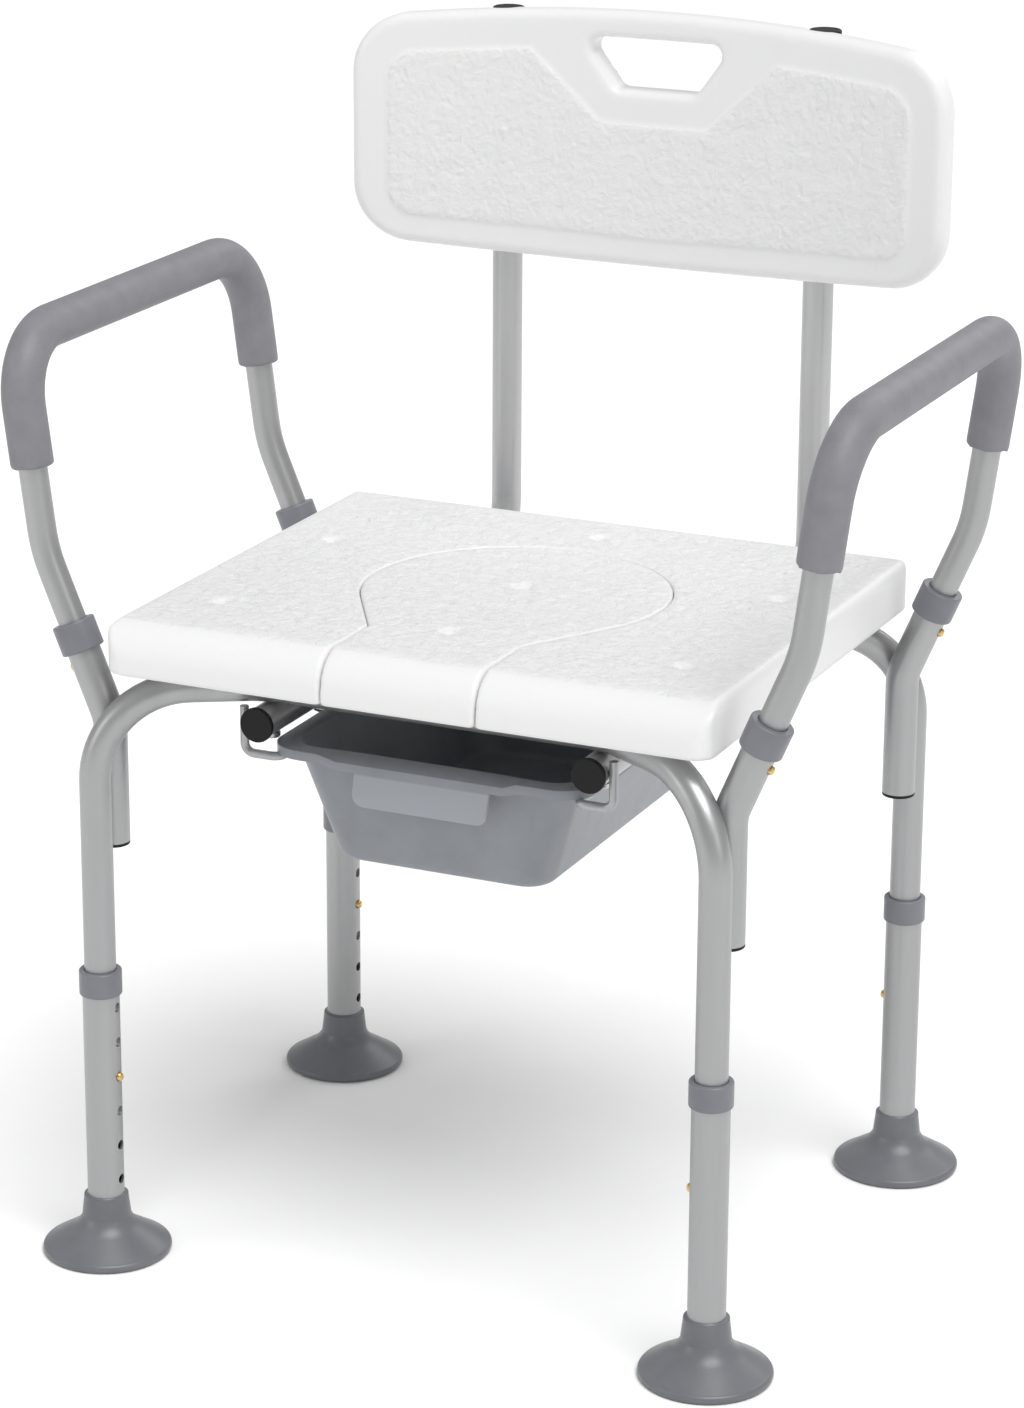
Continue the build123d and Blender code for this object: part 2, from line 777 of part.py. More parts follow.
def main():
    os.makedirs("parts", exist_ok=True)
    nodes = {**single_nodes(), **side_nodes(), **corner_nodes()}
    for name, shape in nodes.items():
        export_step(Pos(0, middle_y, 0) * shape, f"parts/{name}.step")
    print(len(nodes), "nodes, middle_y", round(middle_y, 3))


main()
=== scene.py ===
import bmesh
import bpy
import json
import math
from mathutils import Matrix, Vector

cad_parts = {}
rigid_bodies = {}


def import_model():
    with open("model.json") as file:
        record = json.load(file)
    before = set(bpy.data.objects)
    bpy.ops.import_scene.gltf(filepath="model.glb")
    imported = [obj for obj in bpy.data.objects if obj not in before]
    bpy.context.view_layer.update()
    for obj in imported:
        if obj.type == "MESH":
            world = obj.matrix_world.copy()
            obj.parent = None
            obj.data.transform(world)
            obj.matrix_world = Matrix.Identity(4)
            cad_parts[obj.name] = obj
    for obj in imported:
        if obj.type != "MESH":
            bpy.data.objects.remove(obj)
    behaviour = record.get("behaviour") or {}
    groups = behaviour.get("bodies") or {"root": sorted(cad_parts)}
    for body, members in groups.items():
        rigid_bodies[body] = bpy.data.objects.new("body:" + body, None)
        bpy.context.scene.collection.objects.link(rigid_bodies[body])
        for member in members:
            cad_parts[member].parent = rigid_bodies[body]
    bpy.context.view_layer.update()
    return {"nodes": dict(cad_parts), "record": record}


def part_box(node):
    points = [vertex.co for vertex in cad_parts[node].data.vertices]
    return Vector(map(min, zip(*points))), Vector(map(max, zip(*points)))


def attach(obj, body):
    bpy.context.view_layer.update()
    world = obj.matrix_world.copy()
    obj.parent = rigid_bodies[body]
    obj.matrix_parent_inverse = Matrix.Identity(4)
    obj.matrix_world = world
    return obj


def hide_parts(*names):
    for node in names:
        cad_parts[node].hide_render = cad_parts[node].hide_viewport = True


bl_info = {
    "name": "Shower Commode Chair",
    "version": (1, 0, 0),
    "blender": (4, 5, 0),
    "location": "View3D > Sidebar > Chair",
    "description": "Dresses the frame of a shower commode chair and sets it in a soft studio",
    "category": "Add Mesh",
}

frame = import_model()
NODES = frame["nodes"]
SIDES = ("left", "right")

# Shape of the moulded seat: where its grain lies, and how its underside is cut
SEAT_TOP_BAND = 0.0045
SEAT_FRONT_ROLL = 0.012
SEAT_PLAIN_EDGE = 0.012
SEAT_GRAIN_FADE = 0.010
UNDERSIDE_MARGIN = 0.0001

# Shape of the backrest's grain: how near a point lies to the raised panel's face
PANEL_BAND = 0.0003
PANEL_GRAIN_SHARE = 0.6

# Shape of the pail's rim: what the flange adds to the width and the length, its lip and its front dip
FLANGE_ACROSS = 0.019
FLANGE_ALONG = 0.018
RIM_LIP = 0.0042
RIM_DIP = 0.0030
DIP_CUTS = (-0.078, -0.064, -0.050, 0.050, 0.060, 0.070)
DIP_LEFT = -0.0645
DIP_RIGHT = 0.0605
FLANGE_OUTER = 0.0075
PAIL_CORNER = 0.020
PAIL_FLOOR_ROUNDING = 0.007
PAIL_WALL = 0.0024
PAIL_EDGE_ROUNDING = 0.0009

# Shape of the pail's finger tab
TAB_HALF_WIDTH = 0.050
TAB_DROP = 0.0225
TAB_CORNER = 0.008
TAB_LEAN = 0.0035

# How near a point must be to count as lying on a face or an edge
NEAR = 0.001
MERGE_GAP = 0.00002

# The lights: where they stand, how large and how strong they are, and where they point
SUN_PLACE = (1.4, -1.6, 3.0)
SUN_DIRECTION = (-0.38, 0.28, -1.0)
PANEL_AIM = (0.0, 0.0, 0.45)
PANEL_LIGHTS = {
    "left_panel": {"place": (-2.4, -2.2, 1.3), "size": 1.3, "power": 11.0},
    "right_panel": {"place": (2.8, -1.4, 1.5), "size": 1.3, "power": 6.0},
    "back_panel": {"place": (0.6, 2.6, 2.2), "size": 1.6, "power": 14.0},
}
SENSOR_WIDTH = 36.0


# Settings ---------------------------------------------------------------------------------

def colour(name, description, value):
    """A colour setting with its usual subtype."""
    return bpy.props.FloatVectorProperty(
        name=name, description=description, default=value, subtype="COLOR", min=0.0, max=1.0
    )


def length(name, description, value):
    """A length setting in metres."""
    return bpy.props.FloatProperty(
        name=name, description=description, default=value, min=0.0, unit="LENGTH", precision=4
    )


def angle(name, description, degrees):
    """An angle setting, given in degrees."""
    return bpy.props.FloatProperty(
        name=name, description=description, default=math.radians(degrees), subtype="ANGLE"
    )


class ChairColours(bpy.types.PropertyGroup):
    """The colours of the chair's finishes."""

    tube: colour("Tube", "Satin anodised tube", (0.385, 0.387, 0.391))
    # Painted light: the posts are the same satin tube, given a paler colour to stand in for the brighter
    # light they catch
    post: colour("Post", "Satin tube of the rails and backrest posts", (0.475, 0.477, 0.482))
    wire: colour("Wire", "Silver lacquered wire", (0.42, 0.422, 0.43))
    white: colour("White plastic", "Moulded seat and backrest", (0.775, 0.775, 0.775))
    collar: colour("Collar plastic", "Rings at the tube joints", (0.175, 0.178, 0.20))
    rubber: colour("Foot rubber", "Flared feet", (0.140, 0.144, 0.158))
    grip: colour("Grip foam", "Armrest sleeves", (0.205, 0.205, 0.225))
    black: colour("Black plastic", "Tube caps", (0.004, 0.004, 0.004))
    pail: colour("Pail plastic", "Slide-out pail", (0.235, 0.248, 0.270))
    brass: colour("Brass", "Snap buttons", (0.72, 0.50, 0.20))
    spring: colour("Spring steel", "Strips behind the snap buttons", (0.45, 0.45, 0.46))
    steel: colour("Bolt steel", "Zinc-plated bolts", (0.55, 0.55, 0.56))


class ChairSizes(bpy.types.PropertyGroup):
    """Mesh and grain sizes of the moulded pieces."""

    seat_mesh: length("Seat mesh", "Edge length of the seat's mesh", 0.0021)
    backrest_mesh: length("Backrest mesh", "Edge length of the backrest's mesh", 0.0016)
    grip_mesh: length("Grip mesh", "Edge length of the grips' mesh", 0.0016)
    pail_floor_x: length("Pail floor half width", "Half the pail's width at its floor", 0.0795)
    pail_floor_y: length("Pail floor half length", "Half the pail's length at its floor", 0.124)
    back_curve: length("Backrest curve", "Radius of the backrest's front face", 0.880)
    back_thickness: length("Backrest thickness", "From its front face to its back face", 0.022)
    panel_raise: length("Panel height", "How far the grained panel stands proud", 0.0016)
    grain_size: length("Grain size", "Size of the folds in the moulded grain", 0.011)
    grain_depth: length("Grain depth", "Depth of the folds in the moulded grain", 0.0010)


class ChairStage(bpy.types.PropertyGroup):
    """The camera, lights and floor."""

    azimuth: angle("Azimuth", "Camera angle round the chair", 25.4)
    elevation: angle("Elevation", "Camera angle above the floor", 18.24)
    distance: length("Distance", "From the camera to the middle of the chair", 2.966)
    aim: bpy.props.FloatVectorProperty(
        name="Aim", description="Point the camera looks at", default=(-0.0412, -0.0443, 0.3803),
        subtype="XYZ_LENGTH",
    )
    lens: bpy.props.FloatProperty(
        name="Lens", description="Focal length in millimetres", default=108.66, min=10.0, unit="CAMERA"
    )
    shift: bpy.props.FloatVectorProperty(
        name="Shift", description="Camera shift across and up", default=(0.0483, 0.0044), size=2
    )
    floor: colour("Floor", "Pale studio floor", (0.96, 0.96, 0.96))
    floor_size: length("Floor size", "Edge length of the square floor", 40.0)
    room: colour("Room", "Soft light from all round", (1.0, 1.0, 1.0))
    room_light: bpy.props.FloatProperty(
        name="Room light", description="Strength of the light from all round", default=0.50, min=0.0
    )
    daylight: bpy.props.FloatProperty(
        name="Daylight", description="Strength of the light from above", default=2.15, min=0.0
    )
    daylight_spread: angle("Daylight spread", "How soft the light from above is", 38.0)


# Materials --------------------------------------------------------------------------------

class Finish:
    """A material being built: adds nodes and joins them by socket."""

    def __init__(self, name, base, roughness, **sockets):
        self.material = bpy.data.materials.new(name)
        self.material.use_nodes = True
        self.tree = self.material.node_tree
        self.shader = self.tree.nodes["Principled BSDF"]
        self.shader.inputs["Base Color"].default_value = (*base, 1.0)
        self.shader.inputs["Roughness"].default_value = roughness
        for socket, value in sockets.items():
            self.shader.inputs[socket.replace("_", " ")].default_value = value
        self.base = base
        self.place = self.node("ShaderNodeTexCoord").outputs["Object"]

    def node(self, kind, inputs=None, **settings):
        """A node with its settings, and its inputs set or linked."""
        made = self.tree.nodes.new(kind)
        for key, value in settings.items():
            setattr(made, key, value)
        for key, value in (inputs or {}).items():
            if isinstance(value, bpy.types.NodeSocket):
                self.tree.links.new(value, made.inputs[key])
            else:
                made.inputs[key].default_value = value
        return made

    def link(self, output, socket):
        """Joins an output to the shader."""
        self.tree.links.new(output, self.shader.inputs[socket])

    def scaled(self, x, y, z):
        """Object coordinates stretched by three factors."""
        return self.node("ShaderNodeMapping", {"Vector": self.place, "Scale": (x, y, z)}).outputs["Vector"]

    def axes(self, vector):
        """A vector's three parts, by name."""
        return self.node("ShaderNodeSeparateXYZ", {"Vector": vector}).outputs

    def noise(self, scale, detail=3.0, rough=0.5, twist=0.0, vector=None):
        """A noise value."""
        settings = {"Scale": scale, "Detail": detail, "Roughness": rough, "Distortion": twist}
        settings["Vector"] = vector or self.place
        return self.node("ShaderNodeTexNoise", settings).outputs["Fac"]

    def ranged(self, value, low, high, start=0.0, end=1.0):
        """A value mapped from one range to another."""
        inputs = {"Value": value, "From Min": low, "From Max": high, "To Min": start, "To Max": end}
        return self.node("ShaderNodeMapRange", inputs).outputs["Result"]

    def maths(self, operation, first, second):
        """Two values combined."""
        return self.node("ShaderNodeMath", {0: first, 1: second}, operation=operation).outputs[0]

    def shades(self, value, dark, light):
        """The base colour varied between two brightness factors by a value."""
        stops = self.node("ShaderNodeValToRGB", {"Fac": value})
        ramp = stops.color_ramp
        ramp.elements[0].color = (*[channel * dark for channel in self.base], 1.0)
        ramp.elements[1].color = (*[min(channel * light, 1.0) for channel in self.base], 1.0)
        ramp.elements[0].position = 0.3
        ramp.elements[1].position = 0.7
        self.link(stops.outputs["Color"], "Base Color")
        return stops.outputs["Color"]

    def uneven_gloss(self, value, smoothest, roughest):
        """The roughness varied between two amounts by a noise value."""
        self.link(self.ranged(value, 0.3, 0.7, smoothest, roughest), "Roughness")

    def bump(self, value, depth, under=None):
        """A bump of that depth in metres, on top of another one."""
        inputs = {"Height": value, "Distance": depth, "Strength": 1.0}
        if under:
            inputs["Normal"] = under
        made = self.node("ShaderNodeBump", inputs).outputs["Normal"]
        self.link(made, "Normal")
        return made


def satin_tube(name, base):
    """Anodised aluminium: a fine even grain with faint lengthwise streaks."""
    finish = Finish(name, base, 0.36, Metallic=0.75)
    streak = finish.noise(38.0, detail=4.0, rough=0.6, vector=finish.scaled(1.0, 1.0, 0.08))
    finish.shades(streak, 0.95, 1.05)
    grain = finish.noise(1400.0, detail=2.0)
    finish.uneven_gloss(grain, 0.30, 0.44)
    finish.bump(grain, 0.00002)
    return finish.material


def moulded_white(name, base, grain_at):
    """White polyethylene: plain and softly waved, with a fine crumpled grain where grain_at says."""
    finish = Finish(name, base, 0.42, Subsurface_Weight=0.06, Subsurface_Scale=0.003)
    mask = grain_at(finish)
    folds = finish.noise(85.0, detail=5.0, rough=0.62, twist=1.4)
    fine = finish.noise(330.0, detail=4.0, rough=0.6, twist=0.8)
    creases = finish.maths("MULTIPLY", finish.ranged(fine, 0.3, 0.7), 0.35)
    relief = finish.maths("ADD", finish.ranged(folds, 0.35, 0.65), creases)
    masked = finish.maths("MULTIPLY", relief, mask)
    finish.shades(finish.maths("MULTIPLY", folds, mask), 1.0, 0.965)
    wave = finish.bump(finish.noise(22.0, detail=2.0), 0.0002)
    under = finish.bump(masked, 0.0006, wave)
    finish.bump(finish.noise(1000.0, detail=2.0), 0.00001, under)
    finish.link(finish.ranged(masked, 0.0, 1.2, 0.36, 0.50), "Roughness")
    return finish.material


def grain_on_seat(finish):
    """The seat's grain covers its flat top and fades out at the rolled edges."""
    normal = finish.node("ShaderNodeNewGeometry").outputs["Normal"]
    upward = finish.axes(normal)["Z"]
    height = finish.axes(finish.place)["Z"]
    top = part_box("seat_panel")[1][2]
    level = finish.ranged(height, top - 0.004, top - 0.0025)
    return finish.maths("MULTIPLY", finish.ranged(upward, 0.90, 0.98), level)


def grain_on_backrest(finish):
    """The backrest's grain covers the raised panel, known by its distance from the curve's axis."""
    axis_y, radius = panel_curve()
    parts = finish.axes(finish.place)
    depth = finish.maths("SUBTRACT", parts["Y"], axis_y)
    flat = finish.node("ShaderNodeCombineXYZ", {"X": parts["X"], "Y": depth})
    reach = finish.node("ShaderNodeVectorMath", {0: flat.outputs["Vector"]}, operation="LENGTH")
    face = finish.ranged(reach.outputs["Value"], radius + 3 * PANEL_BAND, radius + 0.0005)
    return finish.maths("MULTIPLY", face, PANEL_GRAIN_SHARE)


def panel_curve():
    """The Y place of the upright axis that the backrest bends round, and its panel's radius."""
    sizes = bpy.context.scene.chair_sizes
    axis_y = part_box("backrest")[1][1] - sizes.back_curve - sizes.back_thickness
    return axis_y, sizes.back_curve - sizes.panel_raise


def plastic(name, base, roughness=0.42, grain=0.00003, **sockets):
    """Starts a coloured plastic with a fine spark-eroded grain and a faint mottle."""
    finish = Finish(name, base, roughness, **sockets)
    mottle = finish.noise(45.0)
    fine = finish.noise(1100.0, detail=2.0)
    finish.tint = finish.shades(mottle, 0.94, 1.06)
    finish.bump(fine, grain)
    finish.uneven_gloss(fine, roughness - 0.06, roughness + 0.06)
    return finish


def pail_plastic(name, base):
    """Blue-grey plastic, with painted light making the finger tab paler."""
    finish = plastic(name, base, 0.40)
    axes = finish.axes(finish.place)
    low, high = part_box("pail")
    forward = finish.ranged(axes["Y"], low[1] + 0.0045, low[1] + 0.0035)
    below = finish.ranged(axes["Z"], high[2] - 0.0070, high[2] - 0.0085)
    tab = finish.maths("MULTIPLY", forward, below)
    # Painted light: the finger tab is mixed to a paler colour to stand in for the brighter light it catches
    tab_painted_light = (*[min(channel * 1.35, 1.0) for channel in base], 1.0)
    mixed = finish.node("ShaderNodeMix", {0: tab, 6: finish.tint, 7: tab_painted_light}, data_type="RGBA")
    finish.link(mixed.outputs[2], "Base Color")
    return finish.material


def foam_sleeve(name, base):
    """Closed-cell foam: matt, with small pores."""
    finish = Finish(name, base, 0.52)
    pores = finish.node("ShaderNodeTexVoronoi", {"Vector": finish.place, "Scale": 900.0}, feature="F1")
    finish.shades(finish.noise(70.0, detail=4.0), 0.94, 1.06)
    under = finish.bump(pores.outputs["Distance"], 0.00008)
    finish.bump(finish.noise(160.0), 0.00006, under)
    return finish.material


def brass_metal(name, base):
    """Turned brass, slightly dulled."""
    finish = Finish(name, base, 0.3, Metallic=1.0)
    dull = finish.noise(700.0)
    finish.shades(dull, 0.85, 1.1)
    finish.uneven_gloss(dull, 0.24, 0.42)
    return finish.material


def plated_steel(name, base, metallic=1.0):
    """Plated or lacquered steel with a fine mottle."""
    finish = Finish(name, base, 0.35, Metallic=metallic)
    mottle = finish.noise(260.0)
    finish.shades(mottle, 0.93, 1.05)
    finish.uneven_gloss(mottle, 0.30, 0.44)
    finish.bump(finish.noise(900.0), 0.00001)
    return finish.material


def make_finishes(colours):
    """Every finish, by the name of the record's material slot or of the piece that has its own."""
    return {
        "satin_tube": satin_tube("satin_tube_finish", colours.tube),
        # The posts' finish is the tube finish with a paler colour: painted light
        "post_tube_painted_light": satin_tube("post_finish_painted_light", colours.post),
        "wire_steel": plated_steel("wire_finish", colours.wire, 0.6),
        "white_plastic": moulded_white("seat_finish", colours.white, grain_on_seat),
        "backrest_white": moulded_white("backrest_finish", colours.white, grain_on_backrest),
        "grey_plastic": plastic("collar_finish", colours.collar, 0.36).material,
        "grey_rubber": plastic("rubber_finish", colours.rubber, 0.34, 0.00004).material,
        "grip_foam": foam_sleeve("grip_finish", colours.grip),
        "black_plastic": plastic("black_cap_finish", colours.black, 0.55, Specular_IOR_Level=0.3).material,
        "pail_plastic": pail_plastic("pail_finish", colours.pail),
        "brass": brass_metal("brass_finish", colours.brass),
        "spring_steel": plated_steel("spring_finish", colours.spring),
        "zinc_steel": plated_steel("bolt_finish", colours.steel),
    }


FINISHES = {}


def finish_of(slot):
    """A finish, made on first use from the scene's colours."""
    if not FINISHES:
        FINISHES.update(make_finishes(bpy.context.scene.chair_colours))
    return FINISHES[slot]


# Modelling helpers ------------------------------------------------------------------------

def share(value):
    """A value held between none and all."""
    return max(0.0, min(1.0, value))


def choose(piece):
    """Selects one piece alone and makes it active."""
    bpy.ops.object.select_all(action="DESELECT")
    piece.select_set(True)
    bpy.context.view_layer.objects.active = piece


def modified(piece, kind, **settings):
    """Adds a modifier with its settings and applies it."""
    choose(piece)
    modifier = piece.modifiers.new(kind.lower(), kind)
    for key, value in settings.items():
        setattr(modifier, key, value)
    bpy.ops.object.modifier_apply(modifier=modifier.name)


def added(name):
    """The primitive just added, renamed and left in edit mode with its place applied."""
    piece = bpy.context.object
    piece.name = name
    piece.data.name = name
    bpy.ops.object.transform_apply(location=True, rotation=True, scale=True)
    bpy.ops.object.mode_set(mode="EDIT")
    bpy.ops.mesh.select_all(action="DESELECT")
    return piece


def pick(piece, kind, test):
    """In edit mode, selects the vertices, edges or faces that pass a test."""
    bpy.ops.mesh.select_mode(type=kind)
    bpy.ops.mesh.select_all(action="DESELECT")
    mesh = bmesh.from_edit_mesh(piece.data)
    for element in {"VERT": mesh.verts, "EDGE": mesh.edges, "FACE": mesh.faces}[kind]:
        if test(element):
            element.select_set(True)
    mesh.select_flush_mode()
    bmesh.update_edit_mesh(piece.data)


def finished(piece, body, nodes, slot, finish=None):
    """Dresses a piece, smooths its shading and hands it to the frame."""
    if bpy.context.mode != "OBJECT":
        bpy.ops.object.mode_set(mode="OBJECT")
    choose(piece)
    bpy.ops.object.shade_smooth()
    piece.data.materials.clear()
    piece.data.materials.append(finish_of(finish or slot))
    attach(piece, body)
    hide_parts(*nodes)


def skin_of(node, name):
    """A copy of a node's outer skin, merged into one shell and without its closed inside."""
    piece = bpy.data.objects.new(name, NODES[node].data.copy())
    bpy.context.scene.collection.objects.link(piece)
    choose(piece)
    bpy.ops.object.mode_set(mode="EDIT")
    bpy.ops.mesh.select_all(action="SELECT")
    bpy.ops.mesh.remove_doubles(threshold=MERGE_GAP)
    bpy.ops.mesh.select_mode(type="VERT")
    bpy.ops.mesh.select_all(action="DESELECT")
    mesh = bmesh.from_edit_mesh(piece.data)
    outermost = min(mesh.verts, key=lambda vertex: vertex.co.x)
    outermost.select_set(True)
    bmesh.update_edit_mesh(piece.data)
    bpy.ops.mesh.select_linked()
    bpy.ops.mesh.select_all(action="INVERT")
    bpy.ops.mesh.delete(type="VERT")
    bpy.ops.object.mode_set(mode="OBJECT")
    return piece


def moulded(piece, voxel, smoothing):
    """Casts a skin again as an even mesh, with its sharp edges melted round."""
    modified(piece, "REMESH", mode="VOXEL", voxel_size=voxel)
    modified(piece, "SMOOTH", factor=0.5, iterations=smoothing)


def grained(piece, test, scale, depth):
    """Presses a crumpled grain into the vertices that pass a test."""
    group = piece.vertex_groups.new(name="grain")
    for vertex in piece.data.vertices:
        weight = test(vertex)
        if weight > 0.0:
            group.add([vertex.index], weight, "REPLACE")
    folds = bpy.data.textures.new("grain_folds", "DISTORTED_NOISE")
    folds.noise_basis = "BLENDER_ORIGINAL"
    folds.noise_distortion = "VORONOI_CRACKLE"
    folds.distortion = 1.2
    folds.noise_scale = scale
    modified(
        piece, "DISPLACE", texture=folds, texture_coords="LOCAL", vertex_group="grain",
        strength=depth, mid_level=0.5,
    )
    piece.vertex_groups.clear()


# Operators --------------------------------------------------------------------------------

class CHAIR_OT_finish_frame(bpy.types.Operator):
    """Give every node of the frame its finish"""

    bl_idname = "chair.finish_frame"
    bl_label = "Finish the Frame"

    def execute(self, context):
        for part in frame["record"]["subparts"]:
            node = NODES[part["node"]]
            # The rail and backrest posts take the paler tube finish: painted light standing in for the
            # brighter light on them
            slot = "post_tube_painted_light" if part["node"].startswith("rail_post") else part["material_slot"]
            for place in node.material_slots:
                place.material = finish_of(slot)
            if not node.material_slots:
                node.data.materials.append(finish_of(slot))
        return {"FINISHED"}


class CHAIR_OT_seat(bpy.types.Operator):
    """Model the moulded seat and its lift-out keyhole insert"""

    bl_idname = "chair.seat"
    bl_label = "Model the Seat"

    def execute(self, context):
        sizes = context.scene.chair_sizes
        low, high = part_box("seat_panel")
        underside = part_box("seat_insert")[0][2] + UNDERSIDE_MARGIN
        parts = {"seat_panel": "frame", "seat_insert": "keyhole_insert"}
        for node, body in parts.items():
            piece = skin_of(node, f"moulded_{node}")
            self.close_below(piece, underside)
            moulded(piece, sizes.seat_mesh, 3)
            grained(piece, lambda vertex: self.on_top(vertex, low, high), sizes.grain_size, sizes.grain_depth)
            finished(piece, body, [node], "white_plastic")
        return {"FINISHED"}

    def close_below(self, piece, level):
        """Cuts the skin off level with its rim and closes it with a flat underside."""
        choose(piece)
        bpy.ops.object.mode_set(mode="EDIT")
        bpy.ops.mesh.select_all(action="SELECT")
        bpy.ops.mesh.bisect(
            plane_co=(0.0, 0.0, level), plane_no=(0.0, 0.0, 1.0), use_fill=True, clear_inner=True
        )
        bpy.ops.object.mode_set(mode="OBJECT")

    def on_top(self, vertex, low, high):
        """How fully a vertex lies on the flat top, fading out towards the seat's edges."""
        if vertex.normal.z < 0.9 or vertex.co.z < high[2] - SEAT_TOP_BAND:
            return 0.0
        to_sides = min(vertex.co.x - low[0], high[0] - vertex.co.x)
        to_ends = min(vertex.co.y - low[1] - SEAT_FRONT_ROLL, high[1] - vertex.co.y)
        return share((min(to_sides, to_ends) - SEAT_PLAIN_EDGE) / SEAT_GRAIN_FADE)


class CHAIR_OT_backrest(bpy.types.Operator):
    """Model the curved backrest with its raised grained panel"""

    bl_idname = "chair.backrest"
    bl_label = "Model the Backrest"

    def execute(self, context):
        sizes = context.scene.chair_sizes
        axis_y, radius = panel_curve()
        piece = skin_of("backrest", "moulded_backrest")
        moulded(piece, sizes.backrest_mesh, 3)
        depth = sizes.grain_depth * PANEL_GRAIN_SHARE
        grained(piece, lambda vertex: self.on_panel(vertex, axis_y, radius), sizes.grain_size, depth)
        finished(piece, "frame", ["backrest"], "white_plastic", "backrest_white")
        return {"FINISHED"}

    def on_panel(self, vertex, axis_y, radius):
        """How fully a vertex lies on the raised panel's face."""
        if vertex.normal.y > -0.85:
            return 0.0
        depth = math.hypot(vertex.co.x, vertex.co.y - axis_y) - radius
        return share(2.0 - depth / PANEL_BAND)


class CHAIR_OT_pail(bpy.types.Operator):
    """Model the thin-walled pail with its rolled rim and finger tab"""

    bl_idname = "chair.pail"
    bl_label = "Model the Pail"

    def execute(self, context):
        low, high = (Vector(corner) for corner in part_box("pail"))
        piece = self.tub(low, high, context.scene.chair_sizes)
        self.rim(piece, low, high)
        self.dip(piece, low)
        self.tab(piece, low, high)
        bpy.ops.object.mode_set(mode="OBJECT")
        modified(piece, "SOLIDIFY", thickness=PAIL_WALL, offset=-1.0, use_even_offset=True)
        modified(
            piece, "BEVEL", width=PAIL_EDGE_ROUNDING, segments=2, limit_method="ANGLE",
            angle_limit=math.radians(50),
        )
        finished(piece, "commode_pail", ["pail"], "pail_plastic")
        choose(piece)
        bpy.ops.object.shade_smooth_by_angle(angle=math.radians(40))
        return {"FINISHED"}

    def tub(self, low, high, sizes):
        """A tapered tub with rounded corners and an open top."""
        centre = (low + high) / 2
        depth = high.z - low.z
        across = (high.x - low.x - FLANGE_ACROSS) / 2
        along = (high.y - low.y - FLANGE_ALONG) / 2
        bpy.ops.object.select_all(action="DESELECT")
        bpy.ops.mesh.primitive_cube_add(size=1.0, location=centre, scale=(2 * across, 2 * along, depth))
        piece = added("thin_pail")
        pick(piece, "FACE", lambda face: face.normal.z < -0.9)
        taper = (sizes.pail_floor_x / across, sizes.pail_floor_y / along, 1.0)
        bpy.ops.transform.resize(value=taper, center_override=centre)
        pick(piece, "FACE", lambda face: face.normal.z > 0.9)
        bpy.ops.mesh.delete(type="FACE")
        pick(piece, "EDGE", lambda edge: abs(edge.verts[0].co.z - edge.verts[1].co.z) > depth / 2)
        bpy.ops.mesh.bevel(offset=PAIL_CORNER, segments=8, affect="EDGES")
        pick(piece, "EDGE", lambda edge: all(vertex.co.z < low.z + NEAR for vertex in edge.verts))
        bpy.ops.mesh.bevel(offset=PAIL_FLOOR_ROUNDING, segments=4, affect="EDGES")
        return piece

    def rim(self, piece, low, high):
        """The flange round the top, turned down at its outer edge."""
        centre = (low + high) / 2
        wide = (high.x - low.x) / (high.x - low.x - FLANGE_ACROSS)
        long = (high.y - low.y) / (high.y - low.y - FLANGE_ALONG)
        pick(piece, "EDGE", lambda edge: all(vertex.co.z > high.z - NEAR for vertex in edge.verts))
        bpy.ops.mesh.extrude_region_move()
        bpy.ops.transform.resize(value=(wide, long, 1.0), center_override=centre)
        bpy.ops.mesh.extrude_region_move(TRANSFORM_OT_translate={"value": (0.0, 0.0, -RIM_LIP)})

    def dip(self, piece, low):
        """The front of the rim lowered between two slopes, to meet the tab."""
        for place in DIP_CUTS:
            bpy.ops.mesh.select_all(action="SELECT")
            bpy.ops.mesh.bisect(plane_co=(place, 0.0, 0.0), plane_no=(1.0, 0.0, 0.0))
        front = low.y + FLANGE_OUTER
        pick(piece, "VERT", lambda vertex: vertex.co.y < front and DIP_LEFT < vertex.co.x < DIP_RIGHT)
        bpy.ops.transform.translate(value=(0.0, 0.0, -RIM_DIP))

    def tab(self, piece, low, high):
        """The finger tab drawn down from the lowered rim, with round corners."""
        front = low.y + NEAR
        lip_z = high.z - RIM_LIP - RIM_DIP + 0.2 * NEAR

        def under_tab(edge):
            """Whether an edge is the lowered lip's, where the tab starts."""
            first, second = (vertex.co for vertex in edge.verts)
            lowered = max(first.y, second.y) < front and max(first.z, second.z) < lip_z
            inside = abs(first.x + second.x) / 2 < TAB_HALF_WIDTH
            return lowered and inside and abs(first.x - second.x) > 10 * NEAR

        pick(piece, "EDGE", under_tab)
        bpy.ops.mesh.extrude_region_move(TRANSFORM_OT_translate={"value": (0.0, 0.0, -TAB_DROP)})
        lowest = min(
            vertex.co.z for vertex in bmesh.from_edit_mesh(piece.data).verts if vertex.co.y < front
        )

        def at_foot(vertex, height):
            """Whether a vertex lies in the tab's lowest part."""
            return vertex.co.y < front and vertex.co.z < lowest + height

        half_width = TAB_HALF_WIDTH - NEAR
        pick(piece, "VERT", lambda vertex: at_foot(vertex, NEAR) and abs(vertex.co.x) > half_width)
        bpy.ops.mesh.bevel(offset=TAB_CORNER, segments=6, affect="VERTICES")
        pick(piece, "VERT", lambda vertex: at_foot(vertex, TAB_CORNER + NEAR / 2))
        bpy.ops.transform.translate(value=(0.0, -TAB_LEAN, 0.0))


class CHAIR_OT_grips(bpy.types.Operator):
    """Model the foam sleeves over the armrests"""

    bl_idname = "chair.grips"
    bl_label = "Model the Grips"

    def execute(self, context):
        for side in SIDES:
            piece = skin_of(f"grip_{side}", f"foam_grip_{side}")
            moulded(piece, context.scene.chair_sizes.grip_mesh, 5)
            finished(piece, f"arm_{side}", [f"grip_{side}"], "grip_foam")
        return {"FINISHED"}


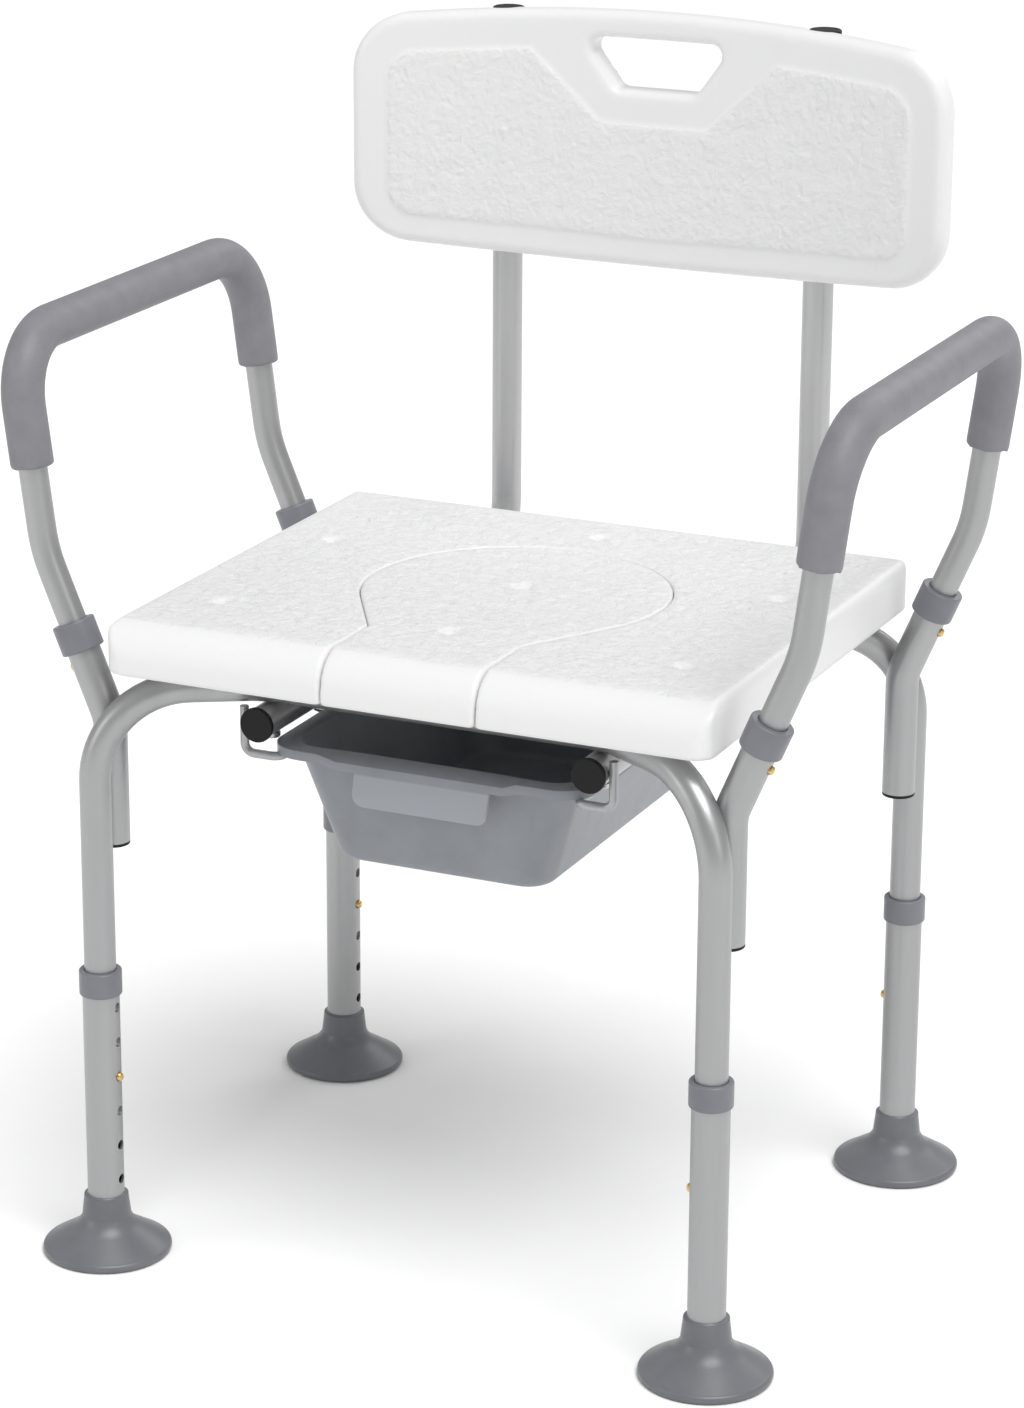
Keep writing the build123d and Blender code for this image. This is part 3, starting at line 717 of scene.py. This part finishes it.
class CHAIR_OT_stage(bpy.types.Operator):
    """Add the floor, the soft lights and the camera"""

    bl_idname = "chair.stage"
    bl_label = "Set the Stage"

    def execute(self, context):
        stage = context.scene.chair_stage
        self.add_floor(stage)
        self.light_room(context, stage)
        self.add_lights(stage)
        self.add_camera(context, stage)
        return {"FINISHED"}

    def add_floor(self, stage):
        """A large plain floor under the feet."""
        bpy.ops.object.select_all(action="DESELECT")
        bpy.ops.mesh.primitive_plane_add(size=stage.floor_size, location=(0.0, 0.0, 0.0))
        floor = bpy.context.object
        floor.name = "studio_floor"
        finish = Finish("floor_finish", stage.floor, 0.9)
        finish.shades(finish.noise(3.0, detail=2.0), 0.995, 1.0)
        floor.data.materials.append(finish.material)

    def light_room(self, context, stage):
        """Even white light from all round."""
        world = bpy.data.worlds.new("studio_room")
        context.scene.world = world
        world.use_nodes = True
        sky = world.node_tree.nodes["Background"]
        sky.inputs["Color"].default_value = (*stage.room, 1.0)
        sky.inputs["Strength"].default_value = stage.room_light

    def add_lights(self, stage):
        """Soft daylight from above on the right, and panels that draw highlights on the tubes."""
        bpy.ops.object.light_add(type="SUN", location=SUN_PLACE)
        sun = bpy.context.object
        sun.name = "soft_daylight"
        sun.data.energy = stage.daylight
        sun.data.angle = stage.daylight_spread
        self.point(sun, Vector(SUN_DIRECTION))
        for name, panel in PANEL_LIGHTS.items():
            bpy.ops.object.light_add(type="AREA", location=panel["place"])
            light = bpy.context.object
            light.name = name
            light.data.size = panel["size"]
            light.data.energy = panel["power"]
            self.point(light, Vector(PANEL_AIM) - Vector(panel["place"]))

    def point(self, thing, direction):
        """Turns a light or the camera to look along a direction."""
        thing.rotation_euler = direction.to_track_quat("-Z", "Y").to_euler()

    def add_camera(self, context, stage):
        """The camera, at its angle and distance, with its frame shifted to the chair."""
        across, up = stage.azimuth, stage.elevation
        back = Vector((math.sin(across) * math.cos(up), -math.cos(across) * math.cos(up), math.sin(up)))
        bpy.ops.object.camera_add(location=Vector(stage.aim) + back * stage.distance)
        camera = bpy.context.object
        camera.name = "studio_camera"
        self.point(camera, -back)
        camera.data.lens = stage.lens
        camera.data.sensor_width = SENSOR_WIDTH
        camera.data.shift_x, camera.data.shift_y = stage.shift
        context.scene.camera = camera
        context.scene.view_settings.view_transform = "Standard"


OPERATORS = (
    CHAIR_OT_finish_frame,
    CHAIR_OT_seat,
    CHAIR_OT_backrest,
    CHAIR_OT_pail,
    CHAIR_OT_grips,
    CHAIR_OT_stage,
)


class CHAIR_PT_panel(bpy.types.Panel):
    """The chair's settings and steps"""

    bl_idname = "CHAIR_PT_panel"
    bl_label = "Shower Commode Chair"
    bl_space_type = "VIEW_3D"
    bl_region_type = "UI"
    bl_category = "Chair"

    def draw(self, context):
        scene = context.scene
        for group in (scene.chair_colours, scene.chair_sizes, scene.chair_stage):
            column = self.layout.column()
            for key in group.__annotations__:
                column.prop(group, key)
        for operator in OPERATORS:
            self.layout.operator(operator.bl_idname)


CLASSES = (ChairColours, ChairSizes, ChairStage, *OPERATORS, CHAIR_PT_panel)


def register():
    for entry in CLASSES:
        bpy.utils.register_class(entry)
    bpy.types.Scene.chair_colours = bpy.props.PointerProperty(type=ChairColours)
    bpy.types.Scene.chair_sizes = bpy.props.PointerProperty(type=ChairSizes)
    bpy.types.Scene.chair_stage = bpy.props.PointerProperty(type=ChairStage)


def unregister():
    del bpy.types.Scene.chair_stage
    del bpy.types.Scene.chair_sizes
    del bpy.types.Scene.chair_colours
    for entry in reversed(CLASSES):
        bpy.utils.unregister_class(entry)


def main():
    register()
    bpy.ops.chair.finish_frame()
    bpy.ops.chair.seat()
    bpy.ops.chair.backrest()
    bpy.ops.chair.pail()
    bpy.ops.chair.grips()
    bpy.ops.chair.stage()


if __name__ == "__main__":
    main()
